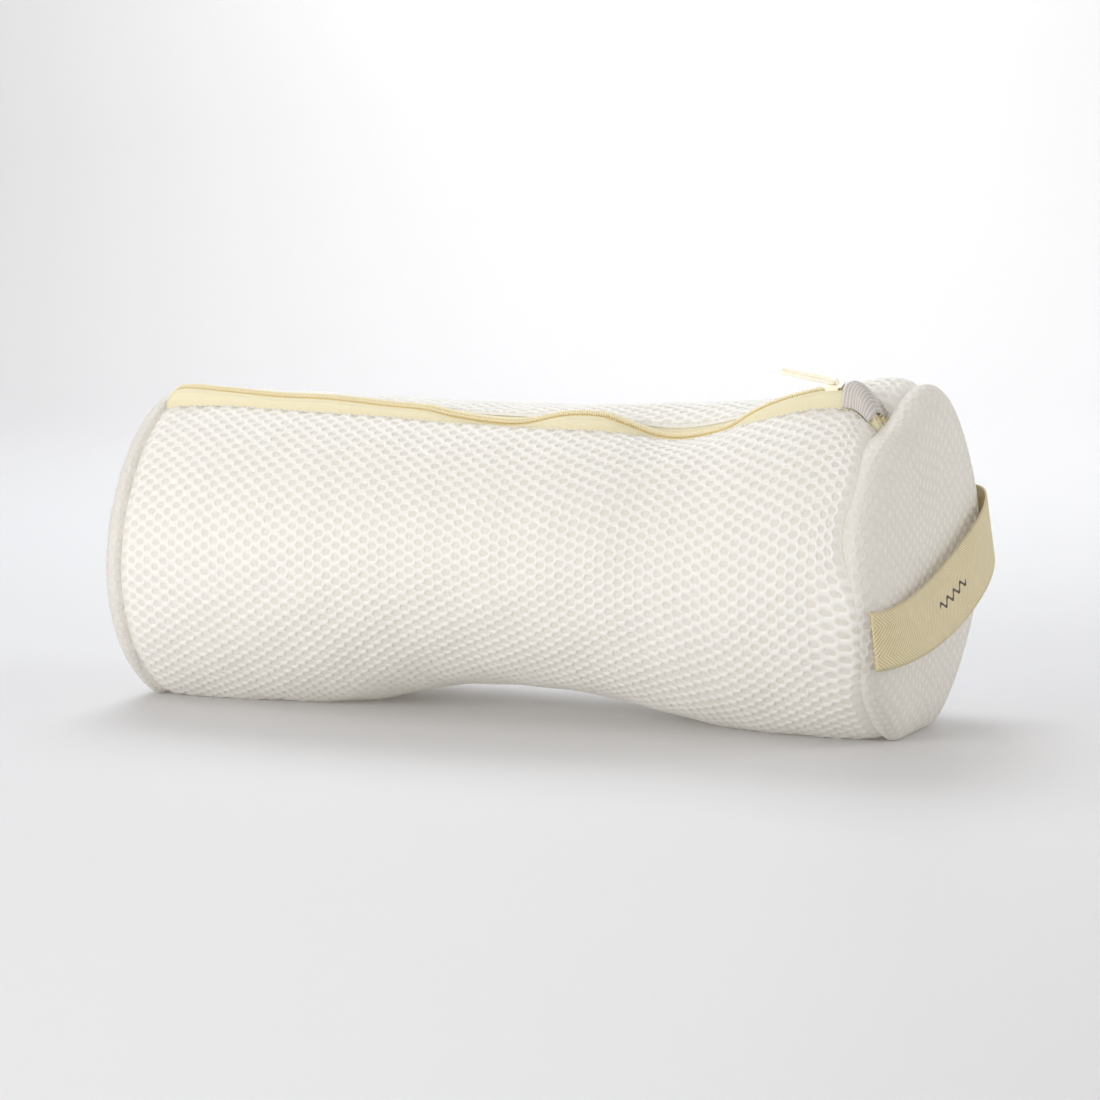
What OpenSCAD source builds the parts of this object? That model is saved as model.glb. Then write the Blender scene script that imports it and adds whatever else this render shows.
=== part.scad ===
// Cylindrical mesh laundry bag: a spacer-mesh tube with two round end panels, a coil zip
// along its top, an elastic keeper for the zip slider and a ribbon handle on one end.
// +X runs along the bag towards the handle end, +Z is up, and -Y is the near side.
// The bag lies on its flattened underside, rolled a little so that the zip leans to the near side.

/* [Bag] */
// Length of the bag between the fullest parts of its two rims
bag_length = 400; // [320:5:500]
// Diameter of the mesh tube when it is round
bag_diameter = 170; // [136:1:210]
// Thickness of the spacer mesh
mesh_thickness = 3.5; // [2.5:0.1:4.5]
// Share of that thickness that is left where the mesh is stitched to the zip
stitched_share = 0.4; // [0.3:0.05:0.6]
// How far each end seam is drawn in below the skin
seam_depth = 5; // [3:0.5:8]
// Length over which the tube rounds over to its end seam
seam_roll = 9; // [6:0.5:14]
// Distance from the plain end's seam out to the fullest part of its rim
plain_roll = 3; // [2:0.5:8]
// Distance from the handle end's seam out to the fullest part of its rim
handle_roll = 8; // [5:0.5:10]
// Roundness of each rim on its outer side
face_roll = 5; // [4:0.5:8]
// How far the middle of the plain end panel bulges past the fullest part of its rim
plain_bulge = 8; // [6:0.5:14]
// How far the middle of the handle end panel bulges past the fullest part of its rim
handle_bulge = 6; // [5.5:0.5:7.5]
// Height of the binding tape inside each end seam
binding_height = 8; // [5:0.5:12]
// Thickness of the bound seam allowance
binding_thickness = 3; // [2:0.5:5]

/* [Zip] */
// Half the gap in the mesh that the zip closes
slot_half = 7.5; // [7:0.5:10]
// Thickness of the zip tape
tape_thickness = 0.6; // [0.4:0.1:1]
// How far the tape reaches under the mesh
tape_overlap = 5; // [3:0.5:7]
// Width of the flat strip of tape beside the coil
tape_flat = 5.5; // [5:0.25:6.5]
// Width of the closed coil
coil_width = 4.2; // [3.4:0.1:5]
// Height of the coil above the tape
coil_height = 1.5; // [1.2:0.1:2]
// Gap between the two coils ahead of the slider
coil_parting = 1.8; // [1.5:0.1:2.4]
// Distance of the stitching from the edge of the mesh
stitch_inset = 2; // [1:0.5:4]
// Diameter of the sewing thread
thread_diameter = 0.5; // [0.4:0.05:0.7]

/* [Slider] */
// Length of the slider
slider_length = 9.5; // [8:0.5:12]
// Thickness of each slider wing
wing_thickness = 1; // [0.8:0.1:1.4]
// Clearance between the slider and what runs through it
slider_clearance = 0.4; // [0.3:0.05:0.6]
// Width of the cap that holds the puller
cap_width = 2.4; // [2:0.1:3]
// Length of the cap along the slider
cap_length = 5; // [4.5:0.1:6]
// Diameter of the puller wire
wire_diameter = 1.4; // [1:0.1:1.6]
// Clearance between the puller pin and the cap
pin_clearance = 0.15; // [0.1:0.05:0.3]
// Length of the puller from its pin to its tip
puller_length = 27; // [18:1:34]
// Width of the puller loop
puller_width = 6.6; // [6.2:0.1:9]
// Angle of the puller above the zip at rest
puller_lift = 15; // [0:1:40]

/* [Keeper] */
// Width of the elastic keeper along the zip
keeper_width = 18; // [12:1:24]
// Thickness of the elastic
keeper_thickness = 1; // [0.8:0.1:1.6]
// Room between the coil and the elastic
keeper_room = 1.6; // [1:0.1:3]

/* [Handle] */
// Width of the ribbon
strap_width = 30; // [20:1:36]
// Thickness of the ribbon
strap_thickness = 1.2; // [0.8:0.1:2]
// How far the ribbon stands out from the fullest part of the rim
strap_rise = 17; // [15:0.5:24]
// Distance from the fullest part of the rim out to where the free part of the ribbon starts
strap_root = 10; // [9:0.5:12]
// How far the ribbon sags below the line between its sewn ends
strap_sag = 7; // [0:0.5:10]
// Rim angle of the near sewn end, from the top towards the near side
strap_near_angle = 107; // [95:1:125]
// Rim angle of the far sewn end
strap_far_angle = -78; // [-95:1:-65]
// Tilt of the ribbon's face at its middle
strap_tilt = 18; // [0:1:22]

/* [Hidden] */
half_length = bag_length / 2;
radius = bag_diameter / 2;
cut = 0.3;                      // running gap between soft pieces on different bodies
seat = 0.3;                     // gap between layers that are stitched together
facet_steps = 48;               // steps round the tube
tape_parting = 0.15;            // half the gap between the two tapes

// Places along the bag, as shares of half its length, then the top, the underside and the half
// width as shares of its diameter. An underside below 0 is pressed flat on the floor.
stations = [
    [-1, 0.918, -0.041, 0.494], [-0.82, 0.918, -0.041, 0.512], [-0.5, 0.912, -0.012, 0.526],
    [-0.15, 0.906, 0.068, 0.532], [0.2, 0.906, 0.058, 0.528], [0.5, 0.924, -0.006, 0.52],
    [0.8, 0.974, -0.035, 0.522], [1, 0.972, -0.024, 0.51]];
// Soft dents and swells: height as a share of the diameter, place along the bag, angle from the
// top, and the reach along the bag and round it.
dents = [
    [-0.07, 1.02, 19, 0.12, 17], [0.053, 0.9, -20, 0.12, 24], [-0.055, 0.41, 16, 0.16, 16],
    [0.029, 0.43, -28, 0.3, 26], [-0.029, 0.48, 65, 0.17, 45], [0.018, -0.5, 80, 0.3, 50],
    [-0.024, -1, 60, 0.13, 35], [0.032, 1, -88, 0.1, 38], [-0.03, 1, -135, 0.1, 30]];
// The zip: a place along the bag, the angle of the middle of the gap in the mesh, the angle of
// the coil, and how far the coil stands above the mesh.
zip_stations = [
    [-0.985, 17, 17, 2], [-0.95, 16, 16, 5.5], [-0.825, 15.5, 15.5, 4], [-0.67, 16.6, 16.6, 3],
    [-0.525, 17.3, 17.3, 3.5], [-0.36, 18, 18.5, 2.5], [-0.236, 19, 20, 2.4],
    [-0.167, 19.8, 21, 0.5], [-0.05, 20.4, 21.5, -1.5], [0.03, 20.6, 21.5, -0.8],
    [0.13, 20.2, 19.7, 3.2], [0.225, 18.2, 17.7, 4], [0.274, 16.5, 16.5, 2], [0.344, 14, 15, -0.8],
    [0.46, 12.7, 14, -1.5], [0.545, 13.8, 14.5, -1.7], [0.618, 15.5, 15.5, 1.8], [0.69, 15.3, 15.3, 4],
    [0.8, 13.3, 13.3, 5.3], [0.87, 12.5, 12.5, 5], [0.91, 13.3, 13.3, 3], [0.96, 14.5, 14.5, -3]];
slider_place = 0.815;           // where the slider stands when the zip is closed

plain_seam = plain_roll / half_length - 1;          // places of the two seams along the bag
handle_seam = 1 - handle_roll / half_length;
coil_half = coil_width / 2;
channel_half = coil_half + coil_parting / 2 + slider_clearance;
rail = 0.9;                     // thickness of the slider's side rails
slider_half = channel_half + rail;
pin_radius = wire_diameter / 2;
wing_top = tape_thickness / 2 + coil_height + slider_clearance;     // underside of the top wing
wing_low = -tape_thickness / 2 - slider_clearance;                  // top of the bottom wing
pin_height = wing_top + wing_thickness + pin_radius + slider_clearance;
slot_angle = slot_half / radius * 180 / PI;
overlap_angle = tape_overlap / radius * 180 / PI;
stitch_angle = stitch_inset / radius * 180 / PI;
facet_turn = (360 - 2 * slot_angle) / facet_steps;
facet_room = radius * (1 - cos(facet_turn / 2));    // how far a facet dips below the round skin
strap_reach = strap_rise + strap_width / 2 * sin(strap_tilt) + strap_thickness / 2;
frame_x = (plain_bulge - strap_reach) / 2;          // puts the whole part's box about the origin

// ---- curves and the bag's skin ----

function slope(t, c, i) =
    i == 0 ? (t[1][c] - t[0][c]) / (t[1][0] - t[0][0]) :
    i == len(t) - 1 ? (t[i][c] - t[i - 1][c]) / (t[i][0] - t[i - 1][0]) :
    (t[i + 1][c] - t[i - 1][c]) / (t[i + 1][0] - t[i - 1][0]);
function span_of(t, x, i = 0) = i >= len(t) - 2 || x < t[i + 1][0] ? i : span_of(t, x, i + 1);
// Smooth curve through column c of a table, at x in its first column
function along(t, c, x) =
    let (i = span_of(t, x), h = t[i + 1][0] - t[i][0], u = (x - t[i][0]) / h)
    (2 * u ^ 3 - 3 * u ^ 2 + 1) * t[i][c] + (u ^ 3 - 2 * u ^ 2 + u) * h * slope(t, c, i) +
    (3 * u ^ 2 - 2 * u ^ 3) * t[i + 1][c] + (u ^ 3 - u ^ 2) * h * slope(t, c, i + 1);
function ramp(a, b, x) = let (u = max(0, min(1, (x - a) / (b - a)))) u * u * (3 - 2 * u);
function wrap(a) = a - 360 * round(a / 360);
function sum(v, i = 0) = i < len(v) ? v[i] + sum(v, i + 1) : 0;
function dent(s, a) = bag_diameter * sum([for (d = dents)
    d[0] * exp(-((s - d[1]) / d[3]) ^ 2) * exp(-(wrap(a - d[2]) / d[4]) ^ 2)]);
function middle_z(s) = bag_diameter * (along(stations, 1, s) + along(stations, 2, s)) / 2;
function half_height(s) = bag_diameter * (along(stations, 1, s) - along(stations, 2, s)) / 2;
function half_width(s) = bag_diameter * along(stations, 3, s);
// A point of the bag at place s along it, at angle a from the top, depth below its skin
function skin(s, a, depth = 0) =
    let (d = dent(s, a) - depth)
    [s * half_length + frame_x, -(half_width(s) + d) * sin(a),
        max(depth, middle_z(s) + (half_height(s) + d) * cos(a))];
// How far the skin is drawn in where the tube rounds over to a seam
function roll_in(s) =
    let (seam = s < 0 ? -plain_seam : handle_seam,
        u = max(0, (abs(s) - seam) * half_length + seam_roll) / seam_roll)
    seam_depth * (1 - sqrt(max(0, 1 - u * u)));
function zip_angle(s) = along(zip_stations, 1, s);
function coil_angle(s) = along(zip_stations, 2, s);
function coil_lift(s) = along(zip_stations, 3, s);
// Thickness of the mesh, which is pressed thin along the zip
function mesh_at(s, a) = mesh_thickness * (stitched_share +
    (1 - stitched_share) * ramp(0, 12, abs(wrap(a - zip_angle(s))) - slot_angle));

// ---- solids from rings of points ----

// Two triangles for each four corners, always split the same way
function split(quads) = [for (q = quads) each [[q[0], q[1], q[2]], [q[0], q[2], q[3]]]];
function flipped(faces) = [for (f = faces) [f[2], f[1], f[0]]];
// The four corners between point j of ring i and the next point of the next ring
function cell(i, j, n, m) =
    let (k = (j + 1) % n, up = (i + 1) % m) [i * n + j, i * n + k, up * n + k, up * n + j];

// A closed solid along stations. Each ring is one face's points, then the other face's backwards.
module loft(rings) {
    n = len(rings[0]);
    m = len(rings);
    // both faces are split along the same diagonals, so a thin wall never meets itself
    sides = split([for (i = [0:m - 2], j = [0:n - 1]) let (q = cell(i, j, n, m))
        j < n / 2 ? q : [q[1], q[2], q[3], q[0]]]);
    cap = split([for (j = [0:n / 2 - 2]) [j + 1, j, n - 1 - j, n - 2 - j]]);
    far_cap = [for (f = flipped(cap)) [for (k = f) k + (m - 1) * n]];
    polyhedron([for (r = rings) each r], concat(sides, cap, far_cap), convexity = 6);
}

// A closed ring with the same section all the way round
module hoop(rings) {
    n = len(rings[0]);
    m = len(rings);
    polyhedron([for (r = rings) each r],
        split([for (i = [0:m - 1], j = [0:n - 1]) cell(i, j, n, m)]), convexity = 6);
}

// A round panel: outer and inner hold rings from the rim to the middle, and tips its two centres
module disc(outer, inner, tips, side) {
    n = len(outer[0]);
    m = len(outer);
    front = concat(split([for (i = [0:m - 2], j = [0:n - 1]) cell(i, j, n, m)]),
        [for (j = [0:n - 1]) [(m - 1) * n + j, (m - 1) * n + (j + 1) % n, 2 * m * n]]);
    back = [for (f = flipped(front)) [for (k = f) k == 2 * m * n ? k + 1 : k + m * n]];
    rim = split([for (j = [0:n - 1]) [(j + 1) % n, j, m * n + j, m * n + (j + 1) % n]]);
    faces = concat(front, back, rim);
    polyhedron(concat([for (r = outer) each r], [for (r = inner) each r], tips),
        side > 0 ? flipped(faces) : faces, convexity = 6);
}

function reversed(v) = [for (i = [len(v) - 1:-1:0]) v[i]];
function blended(a, b, u) = a + (b - a) * u;

module rod(a, b, r) {
    v = b - a;
    translate(a) rotate([0, acos(v.z / norm(v)), atan2(v.y, v.x)])
        cylinder(norm(v), r = r, $fn = 24);
}

// ---- mesh panels ----

slider_reach = (slider_length / 2 + 3 * cut) / half_length; // half the slider and its running gap
keeper_from = slider_place + slider_reach;
keeper_to = keeper_from + keeper_width / half_length;
keeper_spans = 3;
keeper_angle = 1.3 / radius * 180 / PI;                     // how far its ends lap over the mesh
end_places = [cut, 1.5, 3, 5.5, seam_roll];                 // where each end rolls over
// Places along the bag that the mesh and the zip share, with one straight span under the slider
zip_places = let (start = plain_seam + seam_roll / half_length)
    concat([for (e = end_places) plain_seam + e / half_length],
        [for (i = [1:28]) blended(start, slider_place - slider_reach, i / 28)],
        [for (i = [0:keeper_spans]) blended(keeper_from, keeper_to, i / keeper_spans)],
        [for (e = reversed(end_places))
            if (e == cut || handle_seam - (e + 1) / half_length > keeper_to)
                handle_seam - e / half_length]);
tube_places = concat([plain_seam], [for (i = [1:len(zip_places) - 2]) zip_places[i]], [handle_seam]);

module body_panel() {
    color("whitesmoke") loft([for (s = tube_places)
        let (angles = [for (i = [0:facet_steps]) zip_angle(s) + slot_angle + facet_turn * i])
        concat([for (a = reversed(angles)) skin(s, a, roll_in(s))],
            [for (a = angles) skin(s, a, roll_in(s) + mesh_at(s, a))])]);
}

// Points of an end panel's profile, from its seam to its face: how far past the seam, how deep
function rim_profile(roll) = concat(
    [for (a = [0:30:90]) [roll * (1 - cos(a)), seam_depth * (1 - sin(a))]],
    [for (a = [30:30:90]) [roll + face_roll * sin(a), face_depth * (1 - cos(a))]]);
face_depth = 8;                 // how far in from the skin a panel's face starts
panel_shares = [0, 0.2, 0.45, 0.75];    // shares of the way across a panel's face

module end_panel(side, roll, bulge) {
    angles = [for (i = [0:facet_steps - 1]) 360 * i / facet_steps];
    seam = side < 0 ? plain_seam : handle_seam;
    middle = skin(seam, 0, half_height(seam));
    outer = rim_profile(roll);
    last = len(outer) - 1;
    back = outer[last][0] - mesh_thickness;
    inner = [for (i = [0:last]) [back * i / last, max(seam_depth, i == last ? face_depth : 0) + mesh_thickness]];
    rings = [for (profile = [outer, inner]) concat(
        [for (p = profile) [for (a = angles) skin(seam, a, p[1]) + [side * p[0], 0, 0]]],
        [for (i = [1:len(panel_shares) - 1]) let (q = panel_shares[i], p = profile[last])
            [for (a = angles) blended(skin(seam, a, p[1]), middle, q) +
                [side * (p[0] + (roll + bulge - outer[last][0]) * sin(90 * q)), 0, 0]]])];
    tips = [for (drop = [0, mesh_thickness]) middle + [side * (roll + bulge - drop), 0, 0]];
    color("whitesmoke") disc(rings[0], rings[1], tips, side);
}

module plain_end_panel() end_panel(-1, plain_roll, plain_bulge);
module handle_end_panel() end_panel(1, handle_roll, handle_bulge);

// Binding tape over the seam allowance, inside the tube
module end_binding(side) {
    top = seam_depth + mesh_thickness + seat + facet_room;
    low = top + binding_height;
    seam = side < 0 ? plain_seam : handle_seam;
    place = seam - side * binding_thickness / half_length;
    color("ivory") hoop([for (i = [0:facet_steps - 1]) let (a = -side * 360 * i / facet_steps)
        [skin(seam, a, low), skin(seam, a, top), skin(place, a, top), skin(place, a, low)]]);
}

module plain_end_binding() end_binding(-1);
module handle_end_binding() end_binding(1);

// ---- zip ----

function sideways(a) = [0, -cos(a), -sin(a)];       // along the skin, towards the near side
function outward(a) = [0, -sin(a), cos(a)];
// The middle line of the zip's tape
function zip_line(s) = skin(s, coil_angle(s), roll_in(s) - coil_lift(s));
// How far each half of the zip stands off the middle, which is more ahead of the slider
function parting(s) = coil_parting / 2 *
    ramp(-slider_length / 4, slider_length / 4, (s - slider_place) * half_length);

// Points across one tape's middle plane, from the coil to under the mesh
function tape_line(s, side) =
    let (a = coil_angle(s), edge = zip_angle(s) + side * slot_angle, c = zip_line(s),
        room = side * wrap(edge - a) * radius * PI / 180,
        under = roll_in(s) + mesh_at(s, edge) + seat + tape_thickness / 2,
        deep = under + facet_room + overlap_angle / facet_turn *
            (mesh_at(s, edge + side * facet_turn) - mesh_at(s, edge)))
    [c + side * (tape_parting + parting(s)) * sideways(a),
        c + side * min(tape_flat, room * 0.7) * sideways(a),
        skin(s, edge, under) - side * seat * sideways(a),
        skin(s, edge + side * overlap_angle, deep)];
// The same points, each lifted square off the tape
function tape_row(s, side, lift) = let (line = tape_line(s, side)) [for (i = [0:3])
    let (v = cross(line[min(3, i + 1)] - line[max(0, i - 1)], [side, 0, 0]))
    line[i] + lift * v / norm(v)];

module zip_tape(side) {
    color("lemonchiffon") loft([for (s = zip_places)
        let (ring = concat(tape_row(s, side, tape_thickness / 2),
            reversed(tape_row(s, side, -tape_thickness / 2))))
        side > 0 ? reversed(ring) : ring]);
}

module zip_coil(side) {
    color("khaki") loft([for (s = zip_places)
        let (a = coil_angle(s), c = zip_line(s) + tape_thickness / 2 * outward(a),
            near = side * (0.05 + parting(s)) * sideways(a),
            far = side * (coil_half + parting(s)) * sideways(a), up = coil_height * outward(a),
            ring = [c + near + up, c + far + up, c + far + 0.02 * up, c + near + 0.02 * up])
        side > 0 ? reversed(ring) : ring]);
}

// A line of stitching through the mesh and the tape
module zip_stitches(side) {
    r = thread_diameter / 2;
    color("white") loft([for (s = zip_places)
        let (a = zip_angle(s) + side * (slot_angle + stitch_angle), turn = r / radius * 180 / PI,
            high = roll_in(s) - seat - 2 * r, low = roll_in(s) - seat)
        [skin(s, a + turn, high), skin(s, a - turn, high), skin(s, a - turn, low),
            skin(s, a + turn, low)]]);
}

module zip_tape_near() zip_tape(1);
module zip_tape_far() zip_tape(-1);
module zip_coil_near() zip_coil(1);
module zip_coil_far() zip_coil(-1);
module zip_stitches_near() zip_stitches(1);
module zip_stitches_far() zip_stitches(-1);

// ---- slider and puller ----

slider_ends = [for (d = [-1, 1]) zip_line(slider_place + d * slider_reach)];
slider_from = (slider_ends[0] + slider_ends[1]) / 2;
// Axes of the slider: along the zip towards the handle end, across it, and away from the bag
zip_x = (slider_ends[1] - slider_ends[0]) / norm(slider_ends[1] - slider_ends[0]);
zip_z = let (v = outward(coil_angle(slider_place)), w = v - (v * zip_x) * zip_x) w / norm(w);
zip_y = cross(zip_z, zip_x);

module on_slider() multmatrix([for (i = [0:2]) [zip_x[i], zip_y[i], zip_z[i], slider_from[i]]])
    children();

// One wing: square at the tail, with two rounded shoulders at the nose
module wing(z) translate([0, 0, z]) linear_extrude(wing_thickness) hull() {
    shoulder = 1.6;
    translate([-slider_length / 2, -slider_half + 0.6]) square([1, 2 * slider_half - 1.2]);
    for (y = [-1, 1]) translate([slider_length / 2 - shoulder, y * (slider_half - shoulder)])
        circle(shoulder, $fn = 32);
}

module slider_body() color("cornsilk") on_slider() {
    tape_gap = tape_thickness / 2 + slider_clearance;
    bite = 0.2;                 // how far the rails and the post sink into the wings
    wing(wing_top);
    wing(wing_low - wing_thickness);
    for (y = [-slider_half, channel_half]) translate([-slider_length / 2 + 1, y, tape_gap])
        cube([slider_length - 3.2, rail, wing_top - tape_gap + bite]);
    // the post that parts the two coils
    translate([slider_length / 2 - 1.2, 0, wing_low - bite])
        cylinder(wing_top - wing_low + 2 * bite, r = coil_parting / 2 - slider_clearance, $fn = 32);
}

module slider_cap() color("cornsilk") on_slider() {
    wall = 0.7;
    base = wing_top + wing_thickness;
    top = pin_height + pin_radius + pin_clearance + wall;
    crown = (top - base) / 2;
    rotate([90, 0, 0]) translate([0, 0, -cap_width / 2]) difference() {
        hull() {
            translate([-cap_length / 2, base, 0]) cube([cap_length, 0.4, cap_width]);
            for (x = [-0.6, 0.6]) translate([x, top - crown, 0])
                cylinder(cap_width, r = crown, $fn = 32);
        }
        translate([0, pin_height, -1])
            cylinder(cap_width + 2, r = pin_radius + pin_clearance, $fn = 48);
    }
}

// The middle line of the puller's wire, a loop that starts and ends at its pin: points with the
// direction that each faces out of the loop.
leg_y = puller_width / 2 - pin_radius;
puller_bend = 1.1;
tip_x = puller_width / 2 - puller_length;
puller_path = concat(
    [for (a = [0:22.5:90]) [[puller_bend * (cos(a) - 1), leg_y + puller_bend * (sin(a) - 1)], a]],
    [for (a = [90:15:270]) [[tip_x + leg_y * cos(a), leg_y * sin(a)], a]],
    [for (a = [270:22.5:360])
        [[puller_bend * (cos(a) - 1), puller_bend * (sin(a) + 1) - leg_y], a]]);

// The puller lies back along the zip from its pin, lifted by its rest angle
module puller() color("cornsilk") on_slider() translate([0, 0, pin_height])
    rotate([0, puller_lift, 0]) hoop([for (p = puller_path)
        let (out = [cos(p[1]), sin(p[1]), 0])
        [for (b = [0:30:330]) [p[0].x, p[0].y, 0] +
            pin_radius * (cos(b) * out + sin(b) * [0, 0, 1])]]);

// ---- elastic keeper ----

// Points across the keeper, which rests on the mesh at both edges of the gap and arches over the coil
function keeper_row(s, lift) =
    let (a = coil_angle(s), up = tape_thickness / 2 + seat + lift,
        c = zip_line(s) + (tape_thickness / 2 + coil_height + keeper_room + lift) * outward(a),
        feet = [for (side = [1, -1]) skin(s, zip_angle(s) + side * (slot_angle + keeper_angle),
            roll_in(s) - 1.5 * seat - lift)],
        knees = [for (side = [1, -1])
            tape_line(s, side)[1] + up * (outward(a) + 0.8 * side * sideways(a))])
    [feet[0], knees[0], c + coil_half * sideways(a), c, c - coil_half * sideways(a), knees[1],
        feet[1]];
function keeper_station(i) = blended(keeper_from, keeper_to, i / keeper_spans);

module keeper_band() color("gainsboro") loft([for (i = [0:keeper_spans])
    concat(keeper_row(keeper_station(i), keeper_thickness),
        reversed(keeper_row(keeper_station(i), 0)))]);

// A row of stitches along each end of the keeper
module keeper_stitches() color("white") for (edge = [0, 6], i = [0:keeper_spans - 1]) {
    r = thread_diameter / 2;
    rows = [for (k = [i, i + 1]) let (row = keeper_row(keeper_station(k), keeper_thickness + 2 * seat + r),
        inner = edge == 0 ? 1 : 5) blended(row[edge], row[inner], 0.2)];
    for (u = [0.1, 0.6]) rod(blended(rows[0], rows[1], u), blended(rows[0], rows[1], u + 0.3), r);
}

// ---- ribbon handle ----

strap_power = 3.4;              // roundness of the ribbon's arch
strap_stand = strap_thickness / 2 + cut + 0.5;      // how far its middle stands off the fullest rim
strap_dive = seam_depth - 2;    // how deep it goes down into the seam
near_seam = skin(handle_seam, strap_near_angle, -strap_stand);
far_seam = skin(handle_seam, strap_far_angle, -strap_stand);
chord = norm(far_seam - near_seam);
chord_dir = (far_seam - near_seam) / chord;
strap_up = cross([1, 0, 0], chord_dir);             // across the ribbon, in the plane of the rim

// The arch, by an angle that runs from 0 at the near seam to 180 at the far one
function arch_share(t) = (1 - sign(cos(t)) * abs(cos(t)) ^ (2 / strap_power)) / 2;
function arch_height(t) = max(cut, (strap_rise + handle_roll) * sin(t) ^ (2 / strap_power));
function arch_angle(u) = acos(sign(1 - 2 * u) * abs(1 - 2 * u) ^ (strap_power / 2));
function arch_point(t) =
    let (u = arch_share(t), dive = strap_dive * max(0, 1 - arch_height(t) / handle_roll * 2))
    near_seam + (u * chord + dive * sign(0.5 - u)) * chord_dir + [arch_height(t), 0, 0] -
    strap_sag * sin(180 * u) * strap_up;
// Across the ribbon: along the rim at each seam, and square to the arch further in
function arch_across(t) =
    let (u = arch_share(t), tilt = strap_tilt * sin(180 * u),
        v = blended(blended(-sideways(strap_near_angle), strap_up, ramp(0.02, 0.3, u)),
            sideways(strap_far_angle), ramp(0.7, 0.98, u)))
    cos(tilt) * v / norm(v) - sin(tilt) * [1, 0, 0];
root_angle = asin(((strap_root + handle_roll) / (strap_rise + handle_roll)) ^ (strap_power / 2));
tab_angle = arch_angle(arch_share(root_angle) - cut / chord);

// Points across the ribbon, lifted off its middle plane: square to it, or straight out where it
// is cut between the sewn end and the free part.
function strap_row(t, lift, cut_here) =
    let (across = arch_across(t), run = arch_point(min(180, t + 0.5)) - arch_point(max(0, t - 0.5)),
        face = let (v = cross(run, across)) v / norm(v))
    [for (w = [-1, 0, 1]) arch_point(t) + w * strap_width / 2 * across +
        (cut_here ? [lift / face.x, 0, 0] : lift * face)];

module strap_part(turns, cuts) color("darkkhaki") loft([for (i = [0:len(turns) - 1])
    concat(strap_row(turns[i], strap_thickness / 2, cuts[i]),
        reversed(strap_row(turns[i], -strap_thickness / 2, cuts[i])))]);

tab_steps = 7;
tab_turns = [for (i = [0:tab_steps]) tab_angle * (i / tab_steps) ^ 1.6];
module handle_strap() {
    n = 24;
    strap_part([for (i = [0:n]) root_angle + (180 - 2 * root_angle) * i / n], [for (i = [0:n]) true]);
}
module handle_near_end() strap_part(tab_turns, [for (i = [0:tab_steps]) i == tab_steps]);
module handle_far_end() strap_part([for (t = reversed(tab_turns)) 180 - t],
    [for (i = [0:tab_steps]) i == 0]);

// A row of stitches across each sewn end
module handle_stitches() color("tan") for (t = [tab_turns[5], 180 - tab_turns[5]]) {
    r = thread_diameter / 2;
    row = strap_row(t, strap_thickness / 2 + seat + r, false);
    for (u = [0.08:0.15:0.83]) rod(blended(row[0], row[2], u), blended(row[0], row[2], u + 0.09), r);
}

body_panel();
plain_end_panel();
handle_end_panel();
plain_end_binding();
handle_end_binding();
zip_tape_near();
zip_tape_far();
zip_coil_near();
zip_coil_far();
zip_stitches_near();
zip_stitches_far();
slider_body();
slider_cap();
puller();
keeper_band();
keeper_stitches();
handle_strap();
handle_near_end();
handle_far_end();
handle_stitches();
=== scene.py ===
import math

import bmesh
import bpy
import numpy as np
from mathutils import Matrix, Vector


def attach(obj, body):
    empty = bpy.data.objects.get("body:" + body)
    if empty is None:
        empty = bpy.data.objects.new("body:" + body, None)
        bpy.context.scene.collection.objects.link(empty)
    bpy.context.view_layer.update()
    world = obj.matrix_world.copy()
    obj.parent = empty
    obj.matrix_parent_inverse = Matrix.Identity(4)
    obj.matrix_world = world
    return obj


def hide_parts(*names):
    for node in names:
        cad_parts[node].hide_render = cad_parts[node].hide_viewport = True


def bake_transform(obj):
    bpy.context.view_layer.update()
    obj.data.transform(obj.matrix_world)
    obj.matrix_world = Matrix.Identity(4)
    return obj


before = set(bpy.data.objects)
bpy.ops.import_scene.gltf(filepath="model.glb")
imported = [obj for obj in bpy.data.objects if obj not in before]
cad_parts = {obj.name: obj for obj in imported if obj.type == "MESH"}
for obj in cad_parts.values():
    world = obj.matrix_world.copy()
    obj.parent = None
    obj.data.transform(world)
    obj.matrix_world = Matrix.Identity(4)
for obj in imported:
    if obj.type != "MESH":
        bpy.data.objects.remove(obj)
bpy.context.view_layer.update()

mm = 0.001


# the bag's form, in millimetres, with s along it from -1 to 1 and a in degrees from the top

bag = {
    "halfLength": 200,
    "radius": 85,
    "frameX": -7.11763,  # puts the part's box about the origin
    "plainSeam": -0.985,
    "handleSeam": 0.96,
    "seamDepth": 2.8,
    "seamRoll": 12,
    "meshThickness": 3.5,
    "stitchedShare": 0.4,
    # place, top, underside and half width as shares of the diameter
    "stations": [
        [-1, 0.918, -0.041, 0.494], [-0.82, 0.918, -0.041, 0.512], [-0.5, 0.912, -0.012, 0.526],
        [-0.15, 0.906, 0.068, 0.532], [0.2, 0.906, 0.058, 0.528], [0.5, 0.924, -0.006, 0.52],
        [0.8, 0.974, -0.035, 0.522], [1, 0.972, -0.024, 0.51]],
    # height, place, angle, reach along, reach round
    "dents": [
        [-0.07, 1.02, 19, 0.12, 17], [0.053, 0.9, -20, 0.12, 24], [-0.055, 0.41, 16, 0.16, 16],
        [0.029, 0.43, -28, 0.3, 26], [-0.029, 0.48, 65, 0.17, 45], [0.018, -0.5, 80, 0.3, 50],
        [-0.024, -1, 60, 0.13, 35], [0.032, 1, -88, 0.1, 38], [-0.03, 1, -135, 0.1, 30]],
    # how far the handle end's seam strays along the bag, by angle
    "seamStray": [
        [-180, 0], [-60, 0], [0, -2], [14, -4], [24, -7.5], [38, -4], [53, -1], [72, -5], [84, -1],
        [96, 8], [114, 9], [126, 1], [150, 0], [180, 0]],
}
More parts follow.
